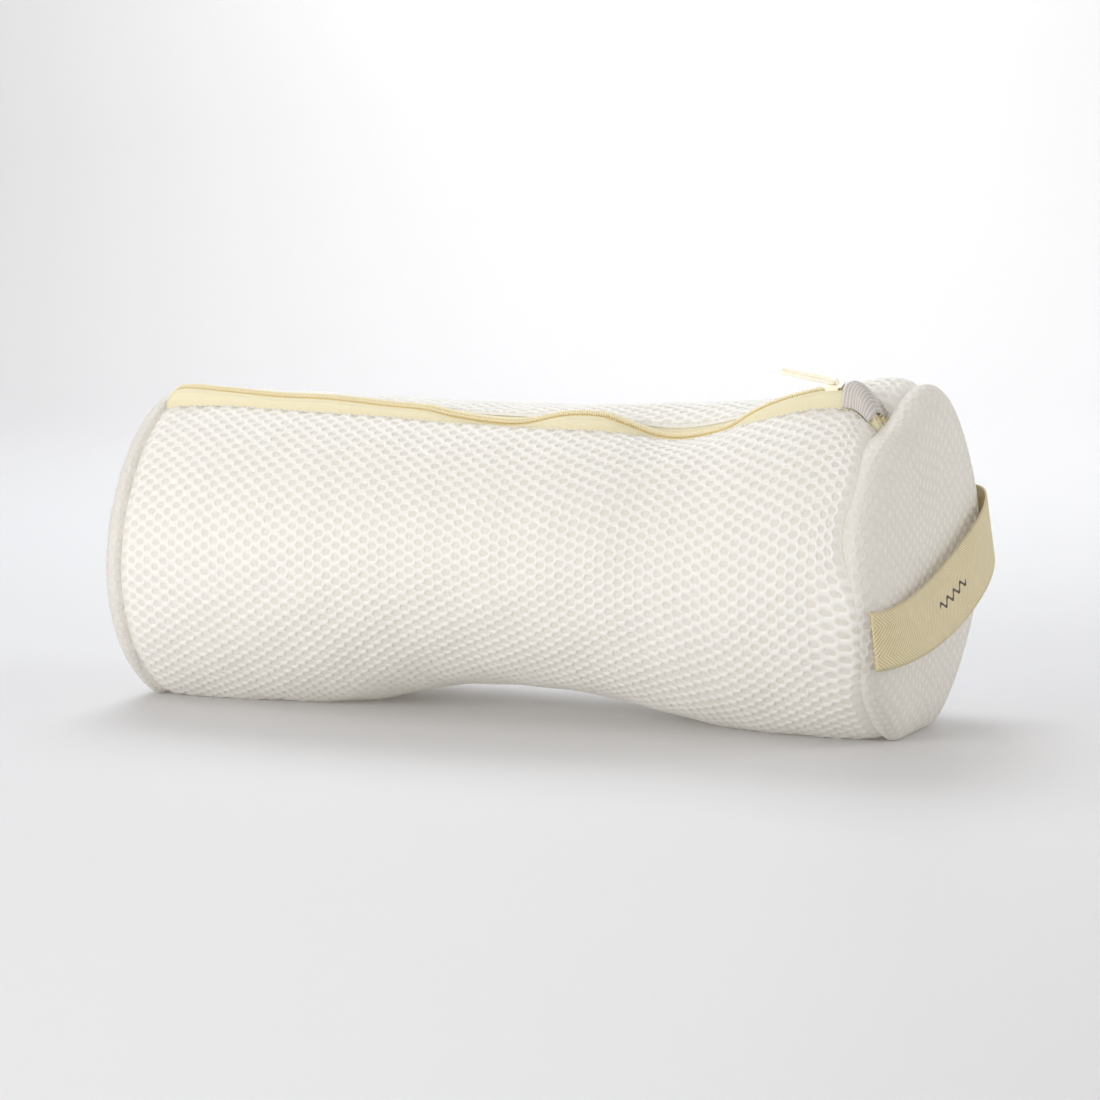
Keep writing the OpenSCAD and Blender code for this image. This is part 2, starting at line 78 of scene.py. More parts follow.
zipper = {
    "slotHalf": 7.5,
    "tapeThickness": 0.6,
    "tapeOverlap": 5,
    "tapeFlat": 5.5,
    "coilWidth": 4.2,
    "coilHeight": 1.5,
    "coilParting": 1.8,
    "stitchInset": 2,
    "threadDiameter": 0.5,
    "stitchStep": 3.1,
    "stitchLength": 2.5,
    "seat": 0.3,
    "sliderPlace": 0.815,
    "sliderLength": 9.5,
    # place, angle of the gap's middle, angle of the coil, lift above the mesh
    "stations": [
        [-0.985, 17, 17, 2], [-0.95, 16, 16, 5.5], [-0.825, 15.5, 15.5, 4], [-0.67, 16.6, 16.6, 3],
        [-0.525, 17.3, 17.3, 3.5], [-0.36, 18, 18.5, 2.5], [-0.236, 19, 20, 2.4],
        [-0.167, 19.8, 21, 0.5], [-0.05, 20.4, 21.5, -1.5], [0.03, 20.6, 21.5, -0.8],
        [0.13, 20.2, 19.7, 3.2], [0.225, 18.2, 17.7, 4], [0.274, 16.5, 16.5, 2],
        [0.344, 14, 15, -0.8], [0.46, 12.7, 14, -1.5], [0.545, 13.8, 14.5, -1.7],
        [0.618, 15.5, 15.5, 1.8], [0.69, 15.3, 15.3, 4], [0.8, 13.3, 13.3, 5.3],
        [0.87, 12.5, 12.5, 5], [0.91, 13.3, 13.3, 3], [0.96, 14.5, 14.5, -3]],
}
slotAngle = math.degrees(zipper["slotHalf"] / bag["radius"])
overlapAngle = math.degrees(zipper["tapeOverlap"] / bag["radius"])


def along(table, column, x):
    # smooth curve through one column of a table
    t = np.array(table, float)
    x = np.asarray(x, float)
    keys, vals = t[:, 0], t[:, column]
    slopes = np.empty(len(keys))
    slopes[0] = (vals[1] - vals[0]) / (keys[1] - keys[0])
    slopes[-1] = (vals[-1] - vals[-2]) / (keys[-1] - keys[-2])
    slopes[1:-1] = (vals[2:] - vals[:-2]) / (keys[2:] - keys[:-2])
    i = np.clip(np.searchsorted(keys, x, side="right") - 1, 0, len(keys) - 2)
    h = keys[i + 1] - keys[i]
    u = (x - keys[i]) / h
    return ((2 * u**3 - 3 * u**2 + 1) * vals[i] + (u**3 - 2 * u**2 + u) * h * slopes[i]
            + (3 * u**2 - 2 * u**3) * vals[i + 1] + (u**3 - u**2) * h * slopes[i + 1])


def ramp(low, high, x):
    u = np.clip((np.asarray(x, float) - low) / (high - low), 0, 1)
    return u * u * (3 - 2 * u)


def wrap(a):
    return a - 360 * np.round(np.asarray(a, float) / 360)


def stray(a):
    # the seam's wander, with its corners rounded
    t = np.array(bag["seamStray"], float)
    return sum(np.interp(wrap(a + d), t[:, 0], t[:, 1]) for d in (-5, -2, 2, 5)) / 4


def skin(s, a, depth=0.0, strays=True):
    # a point of the bag at place s and angle a, depth below its outside
    s, a, depth = np.broadcast_arrays(*(np.asarray(v, float) for v in (s, a, depth)))
    diameter = 2 * bag["radius"]
    swell = -depth
    for height, place, angle, reachAlong, reachRound in bag["dents"]:
        swell = swell + diameter * height * np.exp(-(((s - place) / reachAlong) ** 2)
                                                   - (wrap(a - angle) / reachRound) ** 2)
    top, low = along(bag["stations"], 1, s), along(bag["stations"], 2, s)
    wide = along(bag["stations"], 3, s) * diameter
    turn = np.radians(a)
    x = s * bag["halfLength"] + bag["frameX"]
    if strays:
        x = x + stray(a) * ramp(0.86, bag["handleSeam"], s)
    z = diameter * (top + low) / 2 + (diameter * (top - low) / 2 + swell) * np.cos(turn)
    return np.stack([x, -(wide + swell) * np.sin(turn), np.maximum(depth, z)], -1)


def rollIn(s):
    # how far the skin is drawn in where it rounds over to a seam
    s = np.asarray(s, float)
    seam = np.where(s < 0, -bag["plainSeam"], bag["handleSeam"])
    u = np.clip((np.abs(s) - seam) * bag["halfLength"] / bag["seamRoll"] + 1, 0, 1)
    return bag["seamDepth"] * (1 - np.sqrt(1 - u * u))


def zipAngle(s):
    return along(zipper["stations"], 1, s)


def coilAngle(s):
    return along(zipper["stations"], 2, s)


def meshAt(s, a):
    # the mesh is pressed thin along the zip
    away = np.abs(wrap(a - zipAngle(s))) - slotAngle
    share = bag["stitchedShare"]
    return bag["meshThickness"] * (share + (1 - share) * ramp(0, 12, away))


def sideways(a):
    turn = np.radians(np.asarray(a, float))
    return np.stack([0 * turn, -np.cos(turn), -np.sin(turn)], -1)


def outward(a):
    turn = np.radians(np.asarray(a, float))
    return np.stack([0 * turn, -np.sin(turn), np.cos(turn)], -1)


def column(values):
    return np.asarray(values, float)[..., None]


def unit(v):
    return v / np.linalg.norm(v, axis=-1, keepdims=True)


def through(controls, v):
    # smooth line through control points, which are arrays of places, at v from 0 to 1
    last = len(controls) - 1
    i = np.clip((v * last).astype(int), 0, last - 1)
    u = column(v * last - i)
    pts = np.stack(controls)
    rows = np.arange(len(v))
    before, start = pts[np.maximum(i - 1, 0), rows], pts[i, rows]
    end, after = pts[i + 1, rows], pts[np.minimum(i + 2, last), rows]
    return 0.5 * (2 * start + (end - before) * u + (2 * before - 5 * start + 4 * end - after) * u**2
                  + (3 * start - before - 3 * end + after) * u**3)


# ways of making pieces

def keep(name, bm, material, body, replaces=()):
    # turns a bmesh into a piece that rides on its body
    mesh = bpy.data.meshes.new(name)
    bm.to_mesh(mesh)
    bm.free()
    obj = bpy.data.objects.new(name, mesh)
    bpy.context.scene.collection.objects.link(obj)
    mesh.materials.append(material)
    mesh.polygons.foreach_set("use_smooth", [True] * len(mesh.polygons))
    if body:
        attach(obj, body)
    if replaces:
        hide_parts(*replaces)
    return obj


def shift(bm, place):
    # moves every vertex to place(coordinates), an array in and an array out, in millimetres
    flat = np.array([v.co for v in bm.verts])
    for vert, point in zip(bm.verts, place(flat) * mm):
        vert.co = point


def standOff(surface, u, v, height, stepU, stepV):
    # a point that height off a surface, square to it
    here = surface(u, v)
    alongU = surface(u + stepU, v) - surface(u - stepU, v)
    alongV = surface(u, v + stepV) - surface(u, v - stepV)
    return here + unit(np.cross(alongU, alongV)) * column(height)


def strip(name, segmentsU, segmentsV, place, material, body, replaces=(), thick=0.0, flip=False,
          closed=False):
    # a sheet with its own UVs, from a grid whose u and v run from 0 to 1; a closed one has its ends joined
    bm = bmesh.new()
    bm.loops.layers.uv.new("cloth")
    bmesh.ops.create_grid(bm, x_segments=segmentsU, y_segments=segmentsV, size=0.5, calc_uvs=True)
    bmesh.ops.translate(bm, verts=bm.verts, vec=(0.5, 0.5, 0))
    shift(bm, lambda p: place(np.clip(p[:, 0], 0, 1), np.clip(p[:, 1], 0, 1)))
    if closed:
        bmesh.ops.remove_doubles(bm, verts=bm.verts, dist=1e-6)
    if flip:
        bmesh.ops.reverse_faces(bm, faces=bm.faces)
    obj = keep(name, bm, material, body, replaces)
    if thick:
        wall = obj.modifiers.new("thickness", "SOLIDIFY")
        wall.thickness, wall.offset = thick * mm, -1
    return obj


def honeycomb(width, height, columns, rows):
    # a flat net of hexagons, from a grid with every other crossing edge taken out
    bm = bmesh.new()
    bmesh.ops.create_grid(bm, x_segments=columns, y_segments=rows, size=0.5)
    bmesh.ops.translate(bm, verts=bm.verts, vec=(0.5, 0.5, 0))
    spot = {v: (round(v.co.x * columns), round(v.co.y * rows)) for v in bm.verts}
    crossing = []
    for edge in bm.edges:
        (i, m), (_, n) = sorted(spot[v] for v in edge.verts)
        if m == n and 0 < m < rows and (i + m) % 2:
            crossing.append(edge)
    lean = width / columns / 6
    for v, (i, m) in spot.items():
        side = lean * (-1 if (i + m) % 2 else 1) if 0 < i < columns else 0
        v.co = (v.co.x * width + side, v.co.y * height, 0)
    bmesh.ops.dissolve_edges(bm, edges=crossing, use_verts=False)
    return bm


def openCells(bm, rib):
    # gives every hexagon its rounded rib and takes its middle out
    bm.normal_update()
    cells = bm.faces[:]
    bmesh.ops.inset_individual(bm, faces=cells, thickness=rib["shoulder"], depth=-rib["crown"],
                               use_even_offset=True)
    bmesh.ops.inset_individual(bm, faces=cells, thickness=rib["wall"], depth=-rib["drop"],
                               use_even_offset=True)
    bmesh.ops.delete(bm, geom=cells, context="FACES")


def bead(bm, at, axes, size, around=6, over=4):
    # a small rounded grain, with its middle, its three directions and its three sizes
    frameOf = Matrix([(*(axes[k][i] * size[k] * mm / 2 for k in range(3)), at[i] * mm) for i in range(3)]
                     + [(0, 0, 0, 1)])
    bmesh.ops.create_uvsphere(bm, u_segments=around, v_segments=over, radius=1, matrix=frameOf)


# materials

class Wire:
    # a socket of a material, which adds Math nodes when it is used in an expression
    def __init__(self, finish, socket):
        self.finish, self.socket = finish, socket

    def math(self, operation, first, second=0.0):
        return self.finish.node("ShaderNodeMath", {"operation": operation}, {0: first, 1: second})

    def __add__(self, other):
        return self.math("ADD", self, other)

    def __sub__(self, other):
        return self.math("SUBTRACT", self, other)

    def __rsub__(self, other):
        return self.math("SUBTRACT", other, self)

    def __mul__(self, other):
        return self.math("MULTIPLY", self, other)

    def __truediv__(self, other):
        return self.math("DIVIDE", self, other)

    def __mod__(self, other):
        return self.math("FLOORED_MODULO", self, other)

    def __abs__(self):
        return self.math("ABSOLUTE", self)

    __radd__ = __add__
    __rmul__ = __mul__

    def sine(self):
        return self.math("SINE", self)

    def above(self, level):
        return self.math("GREATER_THAN", self, level)

    def below(self, level):
        return self.math("LESS_THAN", self, level)


class Finish:
    def __init__(self, name, **fixed):
        self.material = bpy.data.materials.new(name)
        self.material.use_nodes = True
        self.tree = self.material.node_tree
        self.shader = self.tree.nodes["Principled BSDF"]
        for socket, value in fixed.items():
            self.shader.inputs[socket.replace("_", " ")].default_value = value

    def node(self, kind, settings, sockets, out=0):
        made = self.tree.nodes.new(kind)
        for key, value in settings.items():
            if key == "stops":
                for stop, (at, colour) in zip(made.color_ramp.elements, value):
                    stop.position, stop.color = at, colour
            else:
                setattr(made, key, value)
        for key, value in sockets.items():
            if isinstance(value, Wire):
                self.tree.links.new(value.socket, made.inputs[key])
            else:
                made.inputs[key].default_value = value
        return Wire(self, made.outputs[out])

    def place(self):
        return self.node("ShaderNodeTexCoord", {}, {}, "Object")

    def cloth(self, width, length):
        # the piece's own UVs, in millimetres along and across
        uv = self.node("ShaderNodeUVMap", {"uv_map": "cloth"}, {})
        split = {"Vector": uv}
        x = self.node("ShaderNodeSeparateXYZ", {}, split, "X")
        y = self.node("ShaderNodeSeparateXYZ", {}, split, "Y")
        return x * float(length), y * float(width)

    def noise(self, size, detail=2.0, rough=0.5):
        return self.node("ShaderNodeTexNoise", {}, {
            "Vector": self.place(), "Scale": 1 / (size * mm), "Detail": detail, "Roughness": rough}, "Fac")

    def cells(self, size):
        return self.node("ShaderNodeTexVoronoi", {}, {
            "Vector": self.place(), "Scale": 1 / (size * mm)}, "Distance")

    def mix(self, factor, first, second):
        return self.node("ShaderNodeMix", {"data_type": "RGBA"}, {0: factor, 6: first, 7: second}, 2)

    def feed(self, socket, wire):
        self.tree.links.new(wire.socket, self.shader.inputs[socket])

    def bump(self, height, distance, strength=1.0):
        self.feed("Normal", self.node("ShaderNodeBump", {}, {
            "Height": height, "Distance": distance * mm, "Strength": strength}))

    def letLightThrough(self, share, colour):
        # thin cloth and nylon pass some light
        thin = self.node("ShaderNodeBsdfTranslucent", {}, {"Color": colour})
        out = self.tree.nodes["Material Output"]
        both = self.node("ShaderNodeMixShader", {}, {
            0: share, 1: Wire(self, self.shader.outputs[0]), 2: thin})
        self.tree.links.new(both.socket, out.inputs["Surface"])


def colour(red, green, blue):
    # from eight-bit screen values
    levels = (((c / 255 + 0.055) / 1.055) ** 2.4 if c > 10 else c / 3295 for c in (red, green, blue))
    return (*levels, 1)


def meshCloth(name, light, dark):
    f = Finish(name, Sheen_Weight=0.25, Sheen_Roughness=0.4)
    strands = f.noise(0.5, 3, 0.6)
    patches = f.noise(35, 2)
    f.feed("Base Color", f.mix(strands * 0.5 + patches * 0.4, light, dark))
    f.feed("Roughness", 0.26 + f.noise(0.35, 1) * 0.5)
    f.bump(strands + f.cells(0.45) * 0.6, 0.14, 0.7)
    f.letLightThrough(0.36, colour(255, 253, 249))
    return f.material


def groundCloth(name, light, dark, share):
    f = Finish(name, Sheen_Weight=0.2)
    loops = f.cells(0.8)
    f.feed("Base Color", f.mix(loops + f.noise(0.6) * 0.3, light, dark))
    f.feed("Roughness", 0.5 + f.noise(0.6, 1) * 0.3)
    f.bump(loops, 0.2, 0.7)
    f.letLightThrough(share, colour(255, 252, 246))
    return f.material


def bindingTape():
    f = Finish("bindingTape", Sheen_Weight=0.15)
    u, v = f.cloth(14, 530)
    weave = (u * 6.3).sine() * (v * 6.3).sine()
    f.feed("Base Color", f.mix(weave * 0.3 + 0.5, colour(246, 243, 237), colour(226, 221, 212)))
    f.feed("Roughness", 0.65 + f.noise(1.2) * 0.2)
    f.bump(weave, 0.1)
    return f.material


def tapeCloth():
    f = Finish("tapeCloth", Sheen_Weight=0.2, Sheen_Roughness=0.35)
    u, v = f.cloth(13, 390)
    # lengthwise ribs of knitted loops that lean to and fro
    rib = (v * 6.9).sine()
    loop = (u * 7.5 + abs((v / 0.91) % 1.0 - 0.5) * 5.0).sine()
    knit = loop * 0.5 + rib * 0.35
    tone = f.noise(4, 2) * 0.35 + knit * 0.22 + 0.28
    f.feed("Base Color", f.mix(tone, colour(255, 252, 230), colour(253, 240, 194)))
    f.feed("Roughness", 0.5 + f.noise(0.4) * 0.3)
    f.bump(knit, 0.16)
    f.letLightThrough(0.18, colour(255, 246, 206))
    return f.material


def nylonCoil():
    f = Finish("nylonCoil", IOR=1.53, Coat_Weight=0.15, Coat_Roughness=0.2)
    streak = f.noise(0.8, 3)
    f.feed("Base Color", f.mix(streak * 0.7, colour(255, 250, 222), colour(254, 243, 196)))
    f.feed("Roughness", 0.26 + streak * 0.2)
    f.bump(f.noise(0.25, 2), 0.02, 0.6)
    f.letLightThrough(0.2, colour(255, 220, 120))
    return f.material


def twistedThread(name, light, dark):
    f = Finish(name, Sheen_Weight=0.3)
    ply = f.noise(0.22, 2, 0.6)
    f.feed("Base Color", f.mix(ply, light, dark))
    f.feed("Roughness", 0.45 + ply * 0.25)
    f.bump(ply, 0.08)
    return f.material


def creamEnamel():
    f = Finish("creamEnamel", Coat_Weight=0.35, Coat_Roughness=0.12, IOR=1.5)
    cloud = f.noise(2.5, 3)
    f.feed("Base Color", f.mix(cloud * 0.8, colour(255, 252, 238), colour(252, 242, 212)))
    f.feed("Roughness", 0.24 + cloud * 0.14 + f.noise(0.3, 2) * 0.06)
    f.bump(f.noise(0.7, 3), 0.015, 0.5)
    return f.material


def ribbedElastic():
    f = Finish("ribbedElastic", Sheen_Weight=0.25)
    u, v = f.cloth(24, 18)
    yarn = (v * 11.0).sine() * 0.5 + 0.5
    # painted shade in the grooves between the ribs, with yarn and random tone on top; the darker colour is
    # the band in shade
    grooveShade = (u * 2 * math.pi / 1.64).sine() * 0.5 + 0.5
    tone = grooveShade * 0.6 + yarn * 0.15 + f.noise(0.8) * 0.25
    f.feed("Base Color", f.mix(tone, colour(190, 182, 177), colour(234, 229, 225)))
    f.feed("Roughness", 0.5 + f.noise(0.4) * 0.25)
    f.bump(yarn, 0.07)
    f.letLightThrough(0.12, colour(240, 232, 225))
    return f.material


def herringboneRibbon(length):
    f = Finish("herringboneRibbon", Sheen_Weight=0.2, Anisotropic=0.3)
    u, v = f.cloth(30, length)
    across = v - 15.0
    band = abs((across / 15.0 + 0.5) % 2.0 - 1.0) * 15.0  # the twill turns back along its middle
    twill = ((u + band) * 2 * math.pi / 2.1).sine() * 0.5 + 0.5
    picks = ((u - band) * 2 * math.pi / 0.5).sine() * 0.5 + 0.5
    hem = abs(across).above(14.0)
    weave = twill * (1 - hem) + ((u * 2 * math.pi / 0.8).sine() * 0.5 + 0.5) * hem
    tone = weave * 0.66 + picks * 0.14 + f.noise(6, 2) * 0.2
    cloth = f.mix(tone, colour(196, 175, 120), colour(254, 244, 208))
    # a small printed wave, of no maker
    middle = u - float(length) * 0.47
    wave = abs(across - (middle * 2 * math.pi / 10).sine() * 1.6)
    ink = wave.below(0.85) * abs(middle).below(20.0)
    f.feed("Base Color", f.mix(ink, cloth, colour(66, 50, 40)))
    f.feed("Roughness", 0.36 + weave * 0.16 + ink * 0.15)
    f.bump(weave + picks * 0.25, 0.22)
    f.letLightThrough(0.1, colour(232, 208, 150))
    return f.material


meshMaterial = meshCloth("meshCloth", colour(255, 255, 254), colour(250, 249, 247))
# the end panels' net is a greyer copy of the mesh cloth: painted shade for the ends, which face away from
# the key light
endMeshShadedMaterial = meshCloth("endMeshClothPaintedShade", colour(236, 235, 233), colour(220, 218, 215))
groundMaterial = groundCloth("groundCloth", colour(255, 254, 252), colour(247, 245, 241), 0.5)
# the ends' backing cloth is a lighter copy of the ground cloth: painted light glowing through the end
# panels' holes
endGroundLitMaterial = groundCloth("endGroundClothPaintedLight", colour(255, 255, 254), colour(252, 251, 249), 0.62)
whiteThread = twistedThread("whiteThread", colour(252, 250, 246), colour(226, 221, 213))
coilThread = twistedThread("coilThread", colour(255, 249, 222), colour(253, 238, 190))
# a darker gold thread that only the near coil row gets: real edge stitches, with painted shade on the
# coil's near side
goldThreadNearShade = twistedThread("goldThreadNearShade", colour(253, 228, 156), colour(240, 202, 116))
ribbonThread = twistedThread("ribbonThread", colour(206, 188, 142), colour(166, 144, 98))
enamel = creamEnamel()
print("materials made")


# mesh panels

mesh = {
    "cell": 6.7,  # from one cell to the next up a column
    "column": 4.9,  # from one column to the next
    "squash": 0.4,  # ribs between the rows are wider than those between the columns
    "rib": {"shoulder": 0.45, "crown": 0.26, "wall": 0.28, "drop": 0.46},
    "groundDepth": 0.88,
    "edgeDive": 1.1,  # how far the tube's cut edge turns down by the zip, and over what width
    "edgeRoll": 1.6,
}
girth = 2 * math.pi * bag["radius"] * (1 - slotAngle / 180)
tubeLength = (bag["handleSeam"] - bag["plainSeam"]) * bag["halfLength"]
tubeColumns = round(tubeLength / mesh["column"])
tubeRows = 2 * round(girth / mesh["cell"])


def tubePlace(u, v):
    # u along the bag and v round it, from one edge of the zip to the other
    s = bag["plainSeam"] + u * (bag["handleSeam"] - bag["plainSeam"])
    a = zipAngle(s) - slotAngle - v * (360 - 2 * slotAngle)
    fromEdge = np.minimum(v, 1 - v) * girth
    dive = mesh["edgeDive"] * (1 - np.sqrt(1 - np.clip(1 - fromEdge / mesh["edgeRoll"], 0, 1) ** 2))
    ripple = 0.35 * np.sin(s * 31 + a * 0.11) * np.sin(a * 0.13 - s * 9)
    return skin(s, a, rollIn(s) + dive - ripple * ramp(0, 14, fromEdge))


def tubeRelief(u, v):
    # how deep the cells are pressed: less by the zip and at the seams
    s = bag["plainSeam"] + u * (bag["handleSeam"] - bag["plainSeam"])
    a = zipAngle(s) - slotAngle - v * (360 - 2 * slotAngle)
    fromSeam = np.minimum(s - bag["plainSeam"], bag["handleSeam"] - s) * bag["halfLength"]
    return meshAt(s, a) / bag["meshThickness"] * (0.45 + 0.55 * ramp(0, 9, fromSeam))


def netOver(name, bm, width, height, surface, relief, material, replaces):
    bmesh.ops.scale(bm, vec=(1, mesh["squash"], 1), verts=bm.verts)
    openCells(bm, mesh["rib"])

    def place(p):
        u, v = np.clip(p[:, 0] / width, 0, 1), np.clip(p[:, 1] / height / mesh["squash"], 0, 1)
        return standOff(surface, u, v, p[:, 2] * relief(u, v), 0.4 / width, 0.4 / height)

    shift(bm, place)
    return keep(name, bm, material, "bag", replaces)


bodyNet = netOver("bodyNet", honeycomb(tubeLength, girth, tubeColumns, tubeRows), tubeLength, girth,
                  tubePlace, tubeRelief, meshMaterial, ["body_panel"])
bodyGround = strip(
    "bodyGround", 180, 240,
    lambda u, v: standOff(tubePlace, u, v, -mesh["groundDepth"] * tubeRelief(u, v), 0.001, 0.001),
    groundMaterial, "bag")
print("tube made:", len(bodyNet.data.polygons), "faces")

endPanels = {
    "plain": {"side": -1, "seam": bag["plainSeam"], "roll": 3, "bulge": 8},
    "handle": {"side": 1, "seam": bag["handleSeam"], "roll": 4, "bulge": 10},
    "faceRoll": 10,
    "faceDepth": 18,
    "cellDepth": 0.5,  # the cells of the ends are shallower than the tube's
}


def panelPlace(panel):
    # an end panel from flat cloth: its middle, then its face, then the roll over to the seam
    side, seam, roll = panel["side"], panel["seam"], panel["roll"]
    faceRoll, faceDepth = endPanels["faceRoll"], endPanels["faceDepth"]
    rimArc = math.pi / 2 * math.sqrt((faceRoll**2 + faceDepth**2) / 2)
    faceRadius = bag["radius"] - faceDepth
    rollArc = math.pi / 2 * math.sqrt((roll**2 + bag["seamDepth"] ** 2) / 2)
    whole = faceRadius + rimArc + rollArc
    high = sum(along(bag["stations"], c, seam) * bag["radius"] for c in (1, 2))
    middle = np.array([seam * bag["halfLength"] + bag["frameX"], 0, high])

    def place(u, v):
        y, z = (u - 0.5) * 2 * whole, (v - 0.5) * 2 * whole
        far = np.hypot(y, z)
        a = np.degrees(np.arctan2(-y, z))
        q = np.clip(1 - far / faceRadius, 0, 1)
        onFace = np.radians(90 * (1 - np.clip((far - faceRadius) / rimArc, 0, 1)))
        onRoll = np.radians(90 * (1 - np.clip((far - faceRadius - rimArc) / rollArc, 0, 1)))
        rolled = far > faceRadius + rimArc
        x = np.where(rolled, roll * (1 - np.cos(onRoll)), roll + faceRoll * np.sin(onFace))
        depth = np.where(rolled, bag["seamDepth"] * (1 - np.sin(onRoll)), faceDepth * (1 - np.cos(onFace)))
        rim = skin(np.full_like(a, seam), a, depth, strays=False)
        lift = x + (panel["bulge"] - faceRoll) * np.sin(q * math.pi / 2)
        rest = np.where(rolled, 0.3 + 0.7 * (1 - np.sin(onRoll)), 0.3) * (1 - q)
        wander = stray(a) * rest if side > 0 else 0 * a
        flat = rim + (middle - rim) * column(q)
        return flat + column(side * lift + wander) * np.array([1, 0, 0])

    return place, whole


def makePanel(key):
    panel = endPanels[key]
    place, whole = panelPlace(panel)
    size = 2 * whole
    bm = honeycomb(size, size, round(size / mesh["column"]), 2 * round(size / mesh["cell"]))
    centre = Vector((whole, whole, 0))
    outside = [face for face in bm.faces if (face.calc_center_median() - centre).length > whole - 1]
    bmesh.ops.delete(bm, geom=outside, context="FACES")
    for v in bm.verts:
        away = v.co - centre
        if away.length > whole - 0.5:
            v.co = centre + away * ((whole - 0.5) / away.length)
    if panel["side"] > 0:
        surface = place
    else:
        def surface(u, v):
            return place(1 - u, v)

    def relief(u, v):
        far = np.hypot(u - 0.5, v - 0.5) * size
        return endPanels["cellDepth"] * (1 - 0.7 * ramp(whole - 11, whole - 3, far))

    net = netOver(key + "EndNet", bm, size, size, surface, relief, endMeshShadedMaterial, [key + "_end_panel"])

    def ground(u, v):
        # rings of the backing cloth, from its middle to the seam
        turn, far = u * 2 * math.pi, (0.004 + 0.994 * v) / 2
        y, z = 0.5 + far * np.sin(turn), 0.5 + far * np.cos(turn)
        return standOff(surface, y, z, -mesh["groundDepth"] * relief(y, z), 0.002, 0.002)

    back = strip(key + "EndGround", 120, 40, ground, endGroundLitMaterial, "bag", closed=True, flip=True)
    return net, back, whole


plainNet, plainGround, plainReach = makePanel("plain")
handleNet, handleGround, handleReach = makePanel("handle")
print("end panels made")

binding = {"height": 8, "thickness": 3, "clear": 0.5}


def bindingPlace(side, seam):
    def place(u, v):
        a = -side * u * 360
        turn = v * 2 - 1
        inside = binding["thickness"] * (0.5 - 0.5 * np.sign(turn) * ramp(0, 0.35, np.abs(turn)))
        high = bag["seamDepth"] + bag["meshThickness"] + binding["clear"]
        depth = high + 0.5 + binding["height"] * np.abs(turn)
        return skin(seam - side * inside / bag["halfLength"], a, depth, strays=False)
    return place


bindingMaterial = bindingTape()
for key in ("plain", "handle"):
    panel = endPanels[key]
    strip(key + "EndBinding", 120, 12, bindingPlace(panel["side"], panel["seam"]), bindingMaterial, "bag",
          [key + "_end_binding"], thick=0.4, closed=True, flip=panel["side"] < 0)


# zip

def zipLine(s):
    return skin(s, coilAngle(s), rollIn(s) - along(zipper["stations"], 3, s))


def parting(s):
    reach = zipper["sliderLength"] / 4
    return zipper["coilParting"] / 2 * ramp(-reach, reach, (s - zipper["sliderPlace"]) * bag["halfLength"])


def tapeLine(s, side):
    # points across one tape, from the coil to under the mesh
    a = coilAngle(s)
    edge = zipAngle(s) + side * slotAngle
    middle = zipLine(s)
    room = side * np.radians(wrap(edge - a)) * bag["radius"]
    under = rollIn(s) + meshAt(s, edge) + zipper["seat"] + zipper["tapeThickness"] / 2
    lap = edge + side * overlapAngle
    deep = under + meshAt(s, lap) - meshAt(s, edge) + 0.4
    return [middle + side * column(0.15 + parting(s)) * sideways(a),
            middle + side * column(np.minimum(zipper["tapeFlat"], room * 0.7)) * sideways(a),
            skin(s, edge, under) - side * zipper["seat"] * sideways(a), skin(s, lap, deep)]


def along01(u, inset=0.0):
    # places along the zip, a little short of each seam
    low = bag["plainSeam"] + (0.3 + inset) / bag["halfLength"]
    high = bag["handleSeam"] - (0.3 + inset) / bag["halfLength"]
    return low + u * (high - low)


tapeMaterial, coilMaterial = tapeCloth(), nylonCoil()
for side, name in ((1, "Near"), (-1, "Far")):
    strip("tape" + name, 300, 9,
          lambda u, v, side=side: through(tapeLine(along01(u), side), v) + zipper["tapeThickness"] / 2
          * outward(coilAngle(along01(u))),
          tapeMaterial, "bag", ["zip_tape_" + name.lower()], thick=0.5, flip=side > 0)

coil = {
    "pitch": 1.15, "reach": 2.35, "width": 0.95, "height": 1.45, "skew": 0.16, "lap": 0.12,
    "thread": {"from": 1.35, "size": (2.5, 0.34, 0.34), "above": 0.02},
    "edge": {"beyond": 0.1, "size": (2.6, 0.4, 0.42), "above": 0.3, "skew": -0.12},
}


def zipFrame(s):
    # the middle of the zip and its directions: along, to the near side, and up
    step = 0.002
    a = coilAngle(s)
    run = unit(zipLine(s + step) - zipLine(s - step))
    up = outward(a)
    up = unit(up - run * np.sum(run * up, -1, keepdims=True))
    return zipLine(s), run, np.cross(run, up) * np.sign(np.sum(np.cross(run, up) * sideways(a))), up


def rowOfBeads(name, places, atSide, lift, size, turn, material, replaces=(), around=6, over=4):
    # beads are made a few at a time and then gathered, which is much quicker than one long mesh
    whole = bmesh.new()
    few = 20
    for start in range(0, len(places), few):
        part = bmesh.new()
        for s in places[start:start + few]:
            middle, run, near, up = zipFrame(np.array(s))
            skewed = unit(run + near * turn)
            bead(part, middle + near * atSide(s) + up * lift, (skewed, np.cross(up, skewed), up), size,
                 around, over)
        gathered = bpy.data.meshes.new("few")
        part.to_mesh(gathered)
        part.free()
        whole.from_mesh(gathered)
        bpy.data.meshes.remove(gathered)
    return keep(name, whole, material, "bag", replaces)


